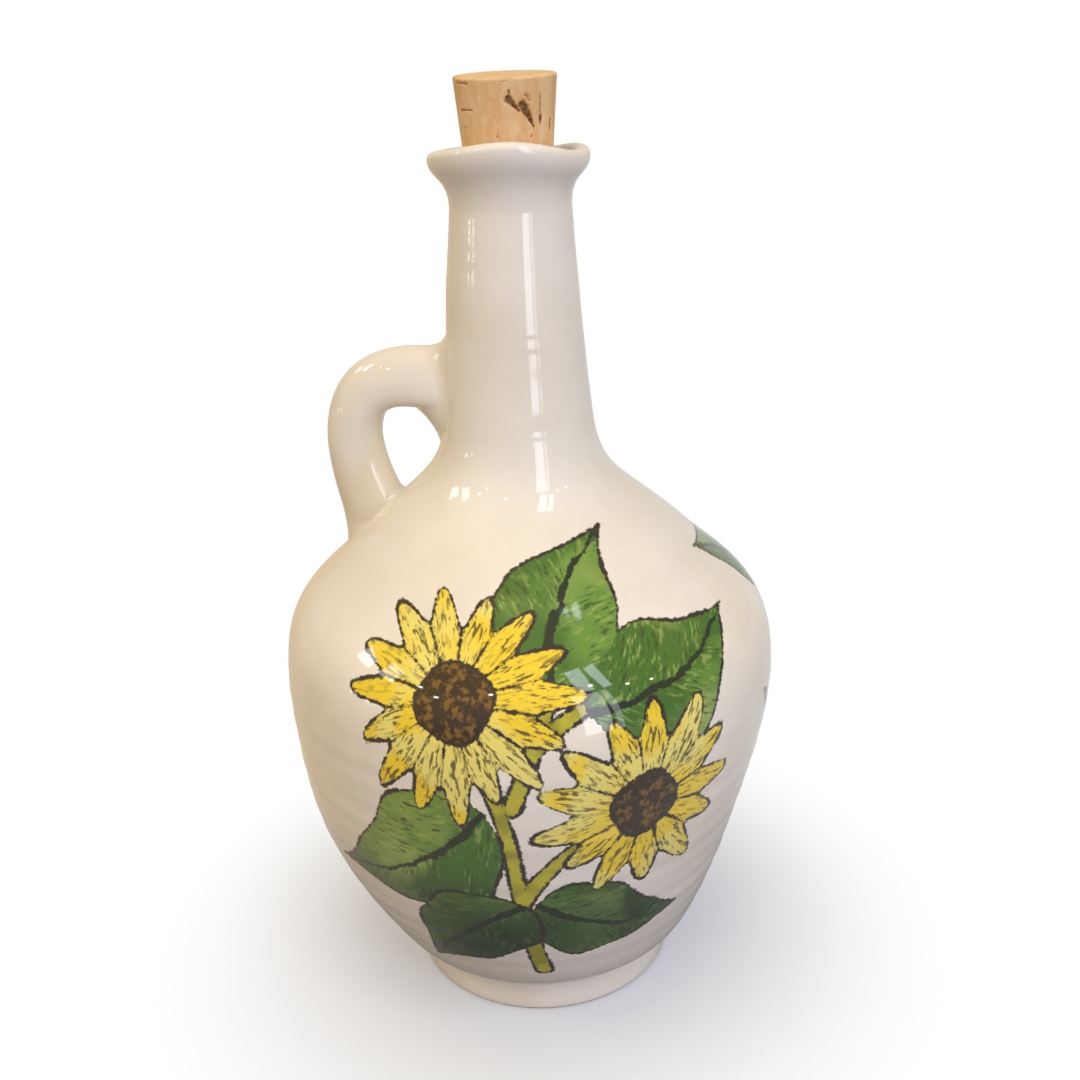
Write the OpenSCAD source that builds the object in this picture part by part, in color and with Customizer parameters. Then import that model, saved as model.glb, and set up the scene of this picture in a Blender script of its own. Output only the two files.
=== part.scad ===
// Thrown and glazed ceramic oil bottle with a loop handle, a turned foot ring and a cork.
// Millimetres, +Z up. The origin is on the bottle's axis at the surface it stands on.
// The handle points to -X, turned a little to the back.
// The lip is high at the front, -Y, and low at its sides and back.

/* [Foot] */
// Diameter of the foot where it stands
foot_d = 74; // [60:1:90]
// Height of the foot ring
foot_h = 11; // [7:0.5:18]
// Width of the ring that the bottle stands on
foot_ring_w = 7; // [5:0.5:10]
// How far the foot spreads below its waist
foot_flare = 1; // [0.5:0.5:4]
// Rounding of the foot's standing edges
foot_edge_r = 1; // [0.5:0.25:2]

/* [Belly] */
// Wall of the belly and of the neck's root
wall = 5; // [3:0.5:7]
// Thickness of the floor
floor_t = 6; // [4:0.5:10]
// Diameter where the belly curls under towards the foot
hip_d = 98; // [84:1:110]
// Height of that place above the foot ring
hip_rise = 13; // [9:1:20]
// Outward lean of the wall there, across for each unit up
hip_lean = 0.5; // [0.3:0.05:0.7]
// Largest diameter of the belly
belly_d = 136.4; // [118:0.2:160]
// Height of the largest diameter above the hip
belly_rise = 71; // [50:1:90]
// Diameter halfway down the shoulder
shoulder_d = 93.4; // [80:0.2:108]
// Height of that place above the largest diameter
shoulder_rise = 35; // [28:1:45]
// Inward lean of the shoulder there, across for each unit up
shoulder_lean = 1.03; // [0.8:0.01:1.3]

/* [Neck] */
// Diameter of the neck where it joins the belly
neck_d = 39; // [34:0.5:46]
// Height of that joint above the middle of the shoulder
neck_rise = 36; // [28:1:46]
// Inward lean of the neck at the joint, across for each unit up
neck_lean = 0.1; // [0.05:0.01:0.2]
// Length of the neck from the joint to the throat
neck_len = 54; // [45:1:80]
// Wall at the throat, round the cork
throat_wall = 5; // [3:0.1:6]

/* [Lip] */
// How far the lip spreads past the throat
lip_flare = 4.75; // [3:0.25:8]
// Height of the flare above the throat
lip_flare_h = 11.6; // [8:0.2:16]
// Thickness of the lip
lip_t = 3.8; // [2.5:0.1:5]
// Height of the lip above the flare where it is lowest
lip_low_h = 0.7; // [0.3:0.1:3]
// How far behind the axis the lip is lowest
lip_low_back = 10; // [0:1:15]
// How much higher the lip stands at the front
lip_wave = 4.9; // [2:0.1:7]

/* [Cork] */
// Diameter of the cork's top
cork_top_d = 25; // [22:0.5:28]
// Diameter of the cork's small end
cork_low_d = 19; // [17:0.5:21]
// Length of the cork
cork_len = 36; // [30:1:45]
// How far the cork stands above the lowest place of the lip
cork_proud = 18.3; // [12:0.1:22]
// Rounding cut off the cork's edges
cork_edge = 0.6; // [0.2:0.1:1]
// Clearance all round between the cork and its seat
cork_gap = 0.3; // [0.1:0.05:0.5]
// Length of the seat, half of it above the throat
seat_len = 8; // [5:0.5:12]

/* [Handle] */
// Height of the upper root above the neck's joint
handle_root_rise = 9.2; // [6:0.2:20]
// How far the upper arm runs out before it turns down
handle_run = 33.3; // [26:0.1:40]
// How far the upper arm rises on its way
handle_lift = 7.1; // [4:0.1:14]
// Distance from the bottle's axis to the lower root
handle_foot_x = 40.2; // [34:0.2:44]
// How far the lower arm bows out past its root
handle_bow = 6.2; // [3:0.1:12]
// Height of that bow above the lower root
handle_bow_rise = 16.3; // [12:0.1:24]
// Thickness of the handle in its middle
handle_t = 14.8; // [11:0.2:17]
// Thickness at the upper root
handle_upper_t = 17; // [15:0.2:22]
// Thickness at the lower root
handle_lower_t = 18.6; // [15:0.2:24]
// Width of the handle from side to side
handle_w = 13; // [11:0.5:18]
// How far the handle is turned from -X to the back, in degrees
handle_turn = 10; // [0:1:25]

/* [Handle welds] */
// Height of the clay pressed round each root
weld_h = 7; // [4:0.5:9]
// Spread of the clay above and outside a root
weld_up = 3; // [1.5:0.5:5]
// Spread of the clay below and inside a root
weld_low = 6; // [3:0.5:8]
// Spread of the clay at the sides of a root
weld_side = 2.5; // [1:0.5:4]
// Thickness of the clay at its thin edge
weld_edge = 0.6; // [0.4:0.1:1]

/* [Hidden] */
$fn = 96;

clay = [0.93, 0.89, 0.82];
clay_shade = [0.88, 0.83, 0.74];
cork_tan = [0.84, 0.66, 0.44];

// Each curve is drawn in this many straight steps
steps = 10;
// How far each curve keeps its direction, as a share of its height
hip_pull = 0.5;
belly_low_pull = 0.09;
belly_high_pull = 0.6;
shoulder_low_pull = 0.37;
shoulder_high_pull = 0.47;
neck_low_pull = 0.5;
neck_high_pull = 0.3;
throat_pull = 0.03;
lip_low_pull = 0.65;
lip_high_pull = 0.4;

// Heights from the surface up
hip_z = foot_h + hip_rise;
belly_z = hip_z + belly_rise;
shoulder_z = belly_z + shoulder_rise;
neck_z = shoulder_z + neck_rise;
throat_z = neck_z + neck_len;
flare_z = throat_z + lip_flare_h;
lip_low_z = flare_z + lip_low_h;
lip_top_z = lip_low_z + 2 * lip_wave;
cork_top_z = lip_low_z + cork_proud;
cork_low_z = cork_top_z - cork_len;
floor_z = foot_h + floor_t;
seat_low_z = throat_z - seat_len / 2;
seat_high_z = throat_z + seat_len / 2;

// Radii that follow from the sizes above
foot_r = foot_d / 2;
waist_r = foot_r - foot_flare;
neck_r = neck_d / 2;
cork_taper = (cork_top_d - cork_low_d) / 2 / cork_len;
function cork_r(z) = cork_top_d / 2 - (cork_top_z - z) * cork_taper;
function seat_r(z) = cork_r(z) + cork_gap;
throat_r = seat_r(throat_z) + throat_wall;
lip_r = throat_r + lip_flare;
// The lip's dip is a round trough along X that rises by lip_wave at the lip's front edge
dip_reach = lip_r + lip_low_back;
dip_r = (dip_reach * dip_reach + lip_wave * lip_wave) / (2 * lip_wave);

// A cubic curve from a to d that leaves a towards b and arrives at d from c
function cubic(a, b, c, d, t) =
    pow(1 - t, 3) * a + 3 * t * pow(1 - t, 2) * b + 3 * t * t * (1 - t) * c + pow(t, 3) * d;
function cubic_slope(a, b, c, d, t) =
    3 * pow(1 - t, 2) * (b - a) + 6 * t * (1 - t) * (c - b) + 3 * t * t * (d - c);
function curve(a, b, c, d, first = 0) =
    [for (i = [first:steps]) cubic(a, b, c, d, i / steps)];
// A point at height dz from p along a wall that leans by lean across for each unit up
function along(p, lean, dz) = p + [lean * dz, dz];
// The line of points moved inwards, to the left of its way up, by w
function inside(pts, w) =
    [for (i = [0:len(pts) - 1])
        let (d = pts[min(i + 1, len(pts) - 1)] - pts[max(i - 1, 0)])
        pts[i] + w * [-d[1], d[0]] / norm(d)];
function reversed(pts) = [for (i = [len(pts) - 1:-1:0]) pts[i]];

// Outer profile as points of radius and height
waist = [waist_r, foot_h];
hip = [hip_d / 2, hip_z];
widest = [belly_d / 2, belly_z];
shoulder = [shoulder_d / 2, shoulder_z];
joint = [neck_r, neck_z];
throat = [throat_r, throat_z];
curl_out = curve(waist, [(waist_r + hip[0]) / 2, foot_h], along(hip, hip_lean, -hip_rise / 2), hip);
belly_out = concat(
    curve(hip, along(hip, hip_lean, hip_pull * belly_rise),
          along(widest, 0, -belly_low_pull * belly_rise), widest),
    curve(widest, along(widest, 0, belly_high_pull * shoulder_rise),
          along(shoulder, -shoulder_lean, -shoulder_low_pull * shoulder_rise), shoulder, 1),
    curve(shoulder, along(shoulder, -shoulder_lean, shoulder_high_pull * neck_rise),
          along(joint, -neck_lean, -neck_low_pull * neck_rise), joint, 1));
neck_out = curve(joint, along(joint, -neck_lean, neck_high_pull * neck_len),
                 along(throat, 0, -throat_pull * neck_len), throat);
lip_out = curve(throat, along(throat, 0, lip_low_pull * lip_flare_h),
                [lip_r, flare_z - lip_high_pull * lip_flare_h], [lip_r, flare_z], 1);

// Inner profile
belly_in = inside(belly_out, wall);
floor_in = curve([waist_r - wall, floor_z], [(waist_r - wall + belly_in[0][0]) / 2, floor_z],
                 along(belly_in[0], hip_lean, -(belly_in[0][1] - floor_z) / 2), belly_in[0]);
neck_root_in = [neck_r - wall, neck_z];
seat_low = [seat_r(seat_low_z), seat_low_z];
seat_high = [seat_r(seat_high_z), seat_high_z];
lip_in_end = [lip_r - lip_t, flare_z];
lip_in = curve(seat_high, along(seat_high, cork_taper, (flare_z - seat_high_z) / 2),
               along(lip_in_end, 0, -(flare_z - seat_high_z) / 2), lip_in_end, 1);

// The bottle's outside from the widest place up, as radius against height and the reverse
upper_out = [for (p = concat(belly_out, neck_out)) if (p[1] >= belly_z) p];
function out_r(z) = lookup(z, [for (p = upper_out) [p[1], p[0]]]);
shoulder_out = [for (p = belly_out) if (p[1] > belly_z) p];
function shoulder_z_at(r) = lookup(r, reversed(shoulder_out));

// The handle's middle line, as points of reach and height
upper_root_z = neck_z + handle_root_rise;
upper_root = [out_r(upper_root_z), upper_root_z];
lower_root = [handle_foot_x, shoulder_z_at(handle_foot_x)];
upper_turn = upper_root + [handle_run, handle_lift];
lower_turn = lower_root + [handle_bow, handle_bow_rise];
// How far each end runs on inside the wall before it is trimmed to it
root_sink = wall + handle_t / 2;
handle_steps = 18;
sides = 16;

function handle_mid(t) = cubic(upper_root, upper_turn, lower_turn, lower_root, t);
function handle_way(t) =
    let (d = cubic_slope(upper_root, upper_turn, lower_turn, lower_root, t)) d / norm(d);
// Thickness along the handle, through the three thicknesses given
function handle_thick(t) =
    handle_upper_t * pow(1 - t, 2) + handle_lower_t * t * t
    + (4 * handle_t - handle_upper_t - handle_lower_t) * t * (1 - t);
// One ring round the middle line: grow is the spread added outside, inside and at the sides
function ring(mid, way, thick, grow) =
    [for (k = [0:sides - 1])
        let (c = cos(360 * k / sides), s = sin(360 * k / sides),
             half = thick / 2 + (c > 0 ? grow[0] : grow[1]),
             p = mid + half * c * [-way[1], way[0]])
        [-p[0], (handle_w / 2 + grow[2]) * s, p[1]]];
// Closed tube through the rings, turned to the handle's bearing
module tube(rings) {
    n = len(rings);
    rotate([0, 0, -handle_turn])
        polyhedron(
            [for (r = rings) each r],
            concat(
                [[for (k = [0:sides - 1]) k]],
                [for (i = [0:n - 2]) for (k = [0:sides - 1]) each
                    let (a = i * sides + k, b = i * sides + (k + 1) % sides)
                    [[a, b + sides, b], [a, a + sides, b + sides]]],
                [[for (k = [sides - 1:-1:0]) (n - 1) * sides + k]]));
}
no_spread = [0, 0, 0];
handle_rings = concat(
    [ring(upper_root - root_sink * handle_way(0), handle_way(0), handle_upper_t, no_spread)],
    [for (i = [0:handle_steps])
        let (t = i / handle_steps) ring(handle_mid(t), handle_way(t), handle_thick(t), no_spread)],
    [ring(lower_root + root_sink * handle_way(1), handle_way(1), handle_lower_t, no_spread)]);

// A weld's clay leaves the wall wide and thins out to weld_edge at weld_h along the handle
weld_steps = 5;
function weld_spread(u, spread) =
    [for (s = spread) weld_edge + (s - weld_edge) * pow(1 - u / weld_h, 2)];
// The ring at the distance u along the handle from the root at the end 0 or 1
function weld_ring(end, u, spread) =
    let (speed = 3 * norm(end == 0 ? upper_turn - upper_root : lower_turn - lower_root),
         t = end == 0 ? u / speed : 1 - u / speed)
    ring(handle_mid(t), handle_way(t), handle_thick(t), weld_spread(u, spread));
upper_weld_rings = let (spread = [weld_up, weld_low, weld_side]) concat(
    [ring(upper_root - root_sink * handle_way(0), handle_way(0), handle_upper_t, spread)],
    [for (i = [0:weld_steps]) weld_ring(0, weld_h * i / weld_steps, spread)]);
lower_weld_rings = let (spread = [weld_up, weld_low, weld_side]) concat(
    [for (i = [weld_steps:-1:0]) weld_ring(1, weld_h * i / weld_steps, spread)],
    [ring(lower_root + root_sink * handle_way(1), handle_way(1), handle_lower_t, spread)]);

// Solid inside of the bottle's outer face, for trimming what is stuck on it
module bottle_core() {
    rotate_extrude()
        polygon(concat([[0, belly_z]], upper_out, [[0, throat_z]]));
}
module handle_tube() {
    tube(handle_rings);
}

module belly() {
    color(clay)
        rotate_extrude()
            polygon(concat(
                [[0, foot_h]], curl_out, [for (i = [1:len(belly_out) - 1]) belly_out[i]],
                [neck_root_in],
                [for (i = [len(belly_in) - 2:-1:1]) belly_in[i]],
                reversed(floor_in), [[0, floor_z]]));
}

module neck() {
    color(clay)
        difference() {
            rotate_extrude()
                polygon(concat(
                    neck_out, lip_out, [[lip_r, lip_top_z], [lip_r - lip_t, lip_top_z]],
                    reversed(lip_in), [seat_high, seat_low, neck_root_in]));
            translate([0, lip_low_back, lip_low_z + dip_r])
                rotate([0, 90, 0])
                    cylinder(r = dip_r, h = 4 * lip_r, center = true);
        }
}

module foot_ring() {
    color(clay_shade)
        rotate_extrude()
            polygon([
                [foot_r - foot_ring_w + foot_edge_r, 0], [foot_r - foot_edge_r, 0],
                [foot_r, foot_edge_r], [waist_r, foot_h], [waist_r - foot_ring_w, foot_h],
                [foot_r - foot_ring_w, foot_edge_r]]);
}

module handle() {
    color(clay)
        difference() {
            handle_tube();
            bottle_core();
        }
}

module upper_handle_weld() {
    color(clay_shade)
        difference() {
            tube(upper_weld_rings);
            handle_tube();
            bottle_core();
        }
}

module lower_handle_weld() {
    color(clay_shade)
        difference() {
            tube(lower_weld_rings);
            handle_tube();
            bottle_core();
        }
}

module cork_stopper() {
    low_r = cork_low_d / 2;
    top_r = cork_top_d / 2;
    color(cork_tan)
        rotate_extrude()
            polygon([
                [0, cork_low_z], [low_r - cork_edge, cork_low_z],
                [cork_r(cork_low_z + cork_edge), cork_low_z + cork_edge],
                [cork_r(cork_top_z - cork_edge), cork_top_z - cork_edge],
                [top_r - cork_edge, cork_top_z], [0, cork_top_z]]);
}

belly();
neck();
foot_ring();
handle();
upper_handle_weld();
lower_handle_weld();
cork_stopper();
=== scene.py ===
# %% [markdown]
# # A glazed oil bottle
# This lesson dresses a ceramic oil bottle: a thrown pot with a loop handle, a painted belly and a cork.
# The construction is already packed as a frame of plain solids, at real size and in metres.
# Each surface here is worked out with numpy in millimetres and then set in the place of its solid.

# %% Load the frame
import math

import bpy
import numpy as np
from mathutils import Matrix, Vector


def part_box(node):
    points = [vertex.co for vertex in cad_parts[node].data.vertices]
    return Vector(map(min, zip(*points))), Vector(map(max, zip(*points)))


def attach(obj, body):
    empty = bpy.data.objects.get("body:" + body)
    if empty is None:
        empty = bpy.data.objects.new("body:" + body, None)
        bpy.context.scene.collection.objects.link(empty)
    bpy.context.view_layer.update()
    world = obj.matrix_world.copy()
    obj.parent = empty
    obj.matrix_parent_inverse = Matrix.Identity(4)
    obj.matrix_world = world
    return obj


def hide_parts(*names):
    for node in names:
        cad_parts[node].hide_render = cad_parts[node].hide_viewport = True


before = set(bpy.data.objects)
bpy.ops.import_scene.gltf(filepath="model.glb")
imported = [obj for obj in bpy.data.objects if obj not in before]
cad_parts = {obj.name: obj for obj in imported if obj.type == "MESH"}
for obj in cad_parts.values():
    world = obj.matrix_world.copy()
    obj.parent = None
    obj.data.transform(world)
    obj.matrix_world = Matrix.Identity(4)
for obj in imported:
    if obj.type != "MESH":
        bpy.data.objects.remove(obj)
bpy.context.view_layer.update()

MM = 0.001
scene = bpy.context.scene


def node_size(name):
    """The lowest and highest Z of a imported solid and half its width, in millimetres."""
    low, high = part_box(name)
    return low.z / MM, high.z / MM, (high.x - low.x) / 2 / MM


foot_z, waist_z, foot_r = node_size("foot_ring")
joint_z, belly_r = node_size("belly")[1:]
cork_low_z, cork_top_z = node_size("cork_stopper")[:2]
print("in mm: joint at", round(joint_z, 1), "and cork's top at", round(cork_top_z, 1))

# %% [markdown]
# ## The camera
# The photograph was taken from close by and above, so the foot looks smaller than the belly.
# A short distance gives that look, not a wide lens by itself, so the camera stands where the photographer
# did: about a third of a metre in front and a little above the cork, looking down and tipped to one side.

# %% Camera
CAMERA_BACK = 342.8
CAMERA_UP = 274.7
FOCAL_PX = 1363
FRAME_PX = 1080
SENSOR_MM = 36
AXIS_LEFT_PX = 14.1
PITCH = math.radians(22.94)
ROLL = math.radians(2.53)

yaw = math.atan(AXIS_LEFT_PX / FOCAL_PX)
ahead = Vector((math.sin(yaw) * math.cos(PITCH), math.cos(yaw) * math.cos(PITCH), -math.sin(PITCH)))
level = Vector((math.cos(yaw), -math.sin(yaw), 0))
upright = level.cross(ahead)
camera_right = level * math.cos(ROLL) - upright * math.sin(ROLL)
camera_up = upright * math.cos(ROLL) + level * math.sin(ROLL)
camera = bpy.data.objects.new("camera", bpy.data.cameras.new("camera"))
scene.collection.objects.link(camera)
camera.data.sensor_width = SENSOR_MM
camera.data.lens = SENSOR_MM * FOCAL_PX / FRAME_PX
camera.data.clip_start = 10 * MM
turn = Matrix((camera_right, camera_up, -ahead)).transposed()
camera.matrix_world = Matrix.Translation(Vector((0, -CAMERA_BACK, CAMERA_UP)) * MM) @ turn.to_4x4()
scene.camera = camera
print("lens", round(camera.data.lens, 1), "mm")

# %% [markdown]
# ## Curves and skins
# Every piece of a thrown pot is a profile carried round or along something. A few helpers draw a profile
# from cubic curves and arcs with even spacing, and one joins a grid of points into a mesh.
# A closed skin has a volume, and its sign tells whether the faces point out or in.

# %% Helpers for profiles and meshes
SHARP = math.radians(50)


def on_cubic(t, a, b, c, d):
    """The place at share t of a cubic: its four control points weighted by the powers of t and 1 - t."""
    return (1 - t) ** 3 * a + 3 * t * (1 - t) ** 2 * b + 3 * t ** 2 * (1 - t) * c + t ** 3 * d


def cubic(a, b, c, d, count=60):
    """Points of a cubic curve at even steps of its share."""
    t = np.linspace(0, 1, count)[:, None]
    return on_cubic(t, *(np.asarray(p, float) for p in (a, b, c, d)))


def arc(centre, radii, start, end, count=24):
    """Points of an ellipse's arc: centre plus the radii times cosine and sine of the angle, in degrees."""
    angle = np.radians(np.linspace(start, end, count))
    return np.stack([centre[0] + radii[0] * np.cos(angle), centre[1] + radii[1] * np.sin(angle)], 1)


def even(points, step):
    """The same line with points an even distance apart, found along its running length."""
    run = np.concatenate([[0], np.cumsum(np.linalg.norm(np.diff(points, axis=0), axis=1))])
    at = np.linspace(0, run[-1], max(2, int(round(run[-1] / step)) + 1))
    return np.stack([np.interp(at, run, points[:, k]) for k in range(points.shape[1])], 1)


def joined(*lines):
    """Lines end to end, leaving out the point that each shares with the one before."""
    return np.concatenate([lines[0]] + [line[1:] for line in lines[1:]])


def step_up(x, low, high):
    """0 below low, 1 above high, and the smooth cubic 3t^2 - 2t^3 between them."""
    t = np.clip((x - low) / (high - low), 0, 1)
    return t * t * (3 - 2 * t)


def span(x, rise_from, rise_to, fall_from, fall_to):
    """1 between two smooth steps, one up and one down, and 0 outside them."""
    return step_up(x, rise_from, rise_to) * (1 - step_up(x, fall_from, fall_to))


def unit(vectors):
    """Vectors of the same direction with a length of one."""
    return vectors / np.linalg.norm(vectors, axis=-1, keepdims=True)


def skin(name, grid, loop):
    """A closed mesh over a grid of rows and columns in millimetres.

    Columns always close on themselves. With loop the rows do too; otherwise each end row is closed by a
    fan to its middle. The signed volume, a sixth of the sum of a . (b x c), must come out positive."""
    rows, cols = grid.shape[:2]
    index = np.arange(rows * cols).reshape(rows, cols)
    here = index if loop else index[:-1]
    above = np.roll(index, -1, 0) if loop else index[1:]
    quads = np.stack([here, np.roll(here, -1, 1), np.roll(above, -1, 1), above], -1).reshape(-1, 4)
    points = grid.reshape(-1, 3)
    corners = points[quads]
    a, b, c, d = (corners[:, k] for k in range(4))
    volume = (np.einsum("ij,ij->i", a, np.cross(b, c)) + np.einsum("ij,ij->i", a, np.cross(c, d))).sum()
    fans = np.zeros((0, 3), int)
    if not loop:
        first, last = index[0], index[-1]
        points = np.concatenate([points, [grid[0].mean(0), grid[-1].mean(0)]])
        fans = np.concatenate([
            np.stack([np.full(cols, rows * cols), np.roll(first, -1), first], 1),
            np.stack([np.full(cols, rows * cols + 1), last, np.roll(last, -1)], 1)])
    if volume < 0:
        quads, fans = quads[:, ::-1], fans[:, ::-1]
    mesh = bpy.data.meshes.new(name)
    mesh.from_pydata((points * MM).tolist(), [], quads.tolist() + fans.tolist())
    mesh.shade_smooth()
    mesh.set_sharp_from_angle(angle=SHARP)
    made = bpy.data.objects.new(name, mesh)
    scene.collection.objects.link(made)
    print(name, "faces", len(mesh.polygons))
    return made


def store(made, name, values):
    """Keeps one number for each point of a piece, for its finish to read. Points past the grid get 0."""
    full = np.zeros(len(made.data.vertices), np.float32)
    full[:values.size] = values.ravel()
    made.data.attributes.new(name, "FLOAT", "POINT").data.foreach_set("value", full)


def place(made, body, node_name):
    """Sets a piece in the stead of its solid, on its body."""
    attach(made, body)
    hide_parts(node_name)


# %% [markdown]
# ## The bottle's outside
# A potter's profile is a few long curves: out from the foot, up to the widest place, in over the shoulder
# and up the neck. Cubic curves that share their direction where they meet give the same even flow, and
# the same values drew the solids. Heights are added up from the waist, and the arms say how far each
# curve keeps the direction of its ends.

# %% Profile of the outside
HIP = (49.0, waist_z + 13)
HIP_LEAN = 0.5
WIDEST = (belly_r, waist_z + 84)
SHOULDER = (46.7, waist_z + 119)
SHOULDER_LEAN = 1.03
JOINT = (19.5, joint_z)
NECK_LEAN = 0.1
THROAT = (15.25, joint_z + 54)
LIP_R = 20.0
FLARE_Z = THROAT[1] + 11.6
WAIST = (foot_r - 1, waist_z)
CURL_ARM = 6.5
FLANK_ARMS = (35.5, 6.4)
SHOULDER_ARMS = (21, 13)
RISE_ARMS = (17, 18)
NECK_ARMS = (16.2, 1.6)


def lean(point, across, up):
    """The place reached from a point by going up, and across by a share of that."""
    return (point[0] + across * up, point[1] + up)


curl = cubic(WAIST, ((WAIST[0] + HIP[0]) / 2, WAIST[1]), lean(HIP, HIP_LEAN, -CURL_ARM), HIP)
flank = cubic(HIP, lean(HIP, HIP_LEAN, FLANK_ARMS[0]), lean(WIDEST, 0, -FLANK_ARMS[1]), WIDEST)
shoulder = cubic(
    WIDEST, lean(WIDEST, 0, SHOULDER_ARMS[0]), lean(SHOULDER, -SHOULDER_LEAN, -SHOULDER_ARMS[1]), SHOULDER)
rise = cubic(
    SHOULDER, lean(SHOULDER, -SHOULDER_LEAN, RISE_ARMS[0]), lean(JOINT, -NECK_LEAN, -RISE_ARMS[1]), JOINT)
neck_side = cubic(JOINT, lean(JOINT, -NECK_LEAN, NECK_ARMS[0]), lean(THROAT, 0, -NECK_ARMS[1]), THROAT)
belly_line = joined(curl, flank, shoulder, rise)
upper_line = joined(flank, shoulder, rise, neck_side)
print("profile points:", len(joined(curl, upper_line)), "up to", round(THROAT[1], 1), "mm")


def radius_at(z):
    """The outside's radius at a height above the hip."""
    return np.interp(z, upper_line[:, 1], upper_line[:, 0])


def height_at(r):
    """The height of the shoulder's outside at a radius, read from the widest place up."""
    line = joined(shoulder, rise)[::-1]
    return np.interp(r, line[:, 0], line[:, 1])


# %% [markdown]
# ## The thrower's hand
# No thrown pot is quite round. Fingers leave low rings on the wall, the neck swells a little above its
# middle, and this belly sags to one side. One function moves every clay point by the same rule, so that
# pieces which meet still meet. Sizes are in millimetres. A span holds the heights between which a trace
# rises and then falls away.

# %% Small irregularities of the thrown clay
RINGS = (0.05, 0.045)
RING_SPAN = (16, 30, 88, 112)
SLIM = 0.9
SLIM_SPAN = (35, 88, 112, 135)
OVAL = 0.1
OVAL_SPAN = (20, 60, 120, 160)
SWELL = 0.18
SWELL_Z = 200
RIDGE = 0.05
NECK_RIDGES = (208.4, 190.6, 187.2, 164.6)
NECK_SPAN = (158, 164, 213, 219)
SAG = (0.6, 2.2)
SAG_Z = 54
LIFT = 1.75
LIFT_SPAN = (95, 112, 146, 172)


def thrown(points):
    """Points with finger rings, a swelling of the neck, a sideways sag and a lifted shoulder.

    The radius gains two sine waves of the height on the belly and low ridges on the neck's outside, and
    loses a little at the widest place. The whole then shifts to the handle's side, most of all low on the
    belly, and the shoulder rises on that side."""
    x, y, z = np.moveaxis(points, -1, 0)
    r = np.hypot(x, y)
    angle = np.arctan2(y, x)
    rings = RINGS[0] * np.sin(z / 1.05 + 0.7 * np.sin(angle))
    rings = (rings + RINGS[1] * np.sin(z / 1.7 + 2 + 0.5 * np.cos(angle))) * span(z, *RING_SPAN)
    slim = -SLIM * span(z, *SLIM_SPAN)
    oval = OVAL * (np.cos(2 * angle + 0.6) - 1) * span(z, *OVAL_SPAN)
    outside = (r > THROAT[0] - 0.4) & (r < LIP_R)
    swell = SWELL * np.exp(-((z - SWELL_Z) / 9) ** 2) * outside
    tilted = z + 0.5 * np.sin(angle) + 0.3 * np.cos(2 * angle)
    ribs = RIDGE * sum(np.exp(-((tilted - ridge) / 0.9) ** 2) for ridge in NECK_RIDGES)
    ribs = (ribs + 0.02 * np.sin(tilted / 2.4)) * outside * span(z, *NECK_SPAN)
    grow = np.where(r > 5, (r + rings + slim + oval + swell + ribs) / np.maximum(r, 1e-6), 1)
    sag = -SAG[0] * step_up(z, 6, 36) - SAG[1] * np.exp(-((z - SAG_Z) / 25) ** 2) * step_up(z, 6, 30)
    sag = sag * (1 - step_up(z, 196, 226))
    lift = LIFT * span(z, *LIFT_SPAN) * np.maximum(-np.cos(angle), 0) ** 2
    return np.stack([x * grow + sag, y * grow, z + lift], -1)


def turned(line, cols):
    """A profile of radius and height carried round the axis: r cos a, r sin a, z."""
    angle = np.linspace(0, 2 * math.pi, cols, endpoint=False)
    r, z = line[:, :1], line[:, 1:]
    return np.stack([r * np.cos(angle), r * np.sin(angle), z + 0 * angle], -1)


print("ridges on the neck at", NECK_RIDGES, "mm")

# %% [markdown]
# ## Belly
# The belly is a hollow wall with a floor. The profile runs out from the middle of the base, up the outside,
# across the joint and down the inside to the middle of the floor. The outside gets a point about every
# millimetre, because the painting is stored on the points later.

# %% Belly
WALL = 5.0
FLOOR_Z = waist_z + 6
FLOOR_ARM = 5
POLE_R = 2
PAINT_STEP = 1.0
INSIDE_STEP = 4.0
BELLY_COLS = 400


def inside(line, wall):
    """A line moved to the left of its way by a wall's thickness, square to its direction."""
    way = unit(np.gradient(line, axis=0))
    return line + wall * np.stack([-way[:, 1], way[:, 0]], 1)


belly_in = inside(joined(flank, shoulder, rise), WALL)
belly_in[-1] = (JOINT[0] - WALL, JOINT[1])
floor_edge = (WAIST[0] - WALL, FLOOR_Z)
floor_turn = cubic(
    floor_edge, ((floor_edge[0] + belly_in[0][0]) / 2, FLOOR_Z), lean(belly_in[0], HIP_LEAN, -FLOOR_ARM),
    belly_in[0])
outside_rows = even(belly_line, PAINT_STEP)
inside_rows = even(joined(floor_turn, belly_in), INSIDE_STEP)[::-1]
base_rows = np.linspace((POLE_R, waist_z), WAIST, 8)[:-1]
floor_rows = np.linspace(floor_edge, (POLE_R, FLOOR_Z), 8)[1:]
belly_rows = np.concatenate([base_rows, outside_rows, inside_rows, floor_rows])
belly_grid = thrown(turned(belly_rows, BELLY_COLS))
belly = skin("painted_belly", belly_grid, loop=False)
place(belly, "bottle", "belly")

# %% [markdown]
# ## Neck and lip
# The neck is a tube whose top was opened out into a lip. The lip was then pulled by hand: it is high at the
# front and low at the sides and the back. The profile goes round the tube's wall as a closed loop, and a
# second function lifts the lip by a sum of a few waves round the rim.

# %% Neck
LIP_T = 3.8
LIP_ROUND = 1.8
LIP_MEAN = 0.36
LIP_COS = (-0.29, -0.45, 0.29, 0.07)
LIP_SIN = (-2.26, 0.16, 0.54, 0.22)
LIP_ARMS = (7.5, 4.6, 3.0, 3.0)
SEAT_SPLAY = 0.08
NECK_COLS = 256
CORK_TOP_R = 12.5
CORK_LOW_R = 9.5
CORK_GAP = 0.3
SEAT_HALF = 4.0


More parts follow.
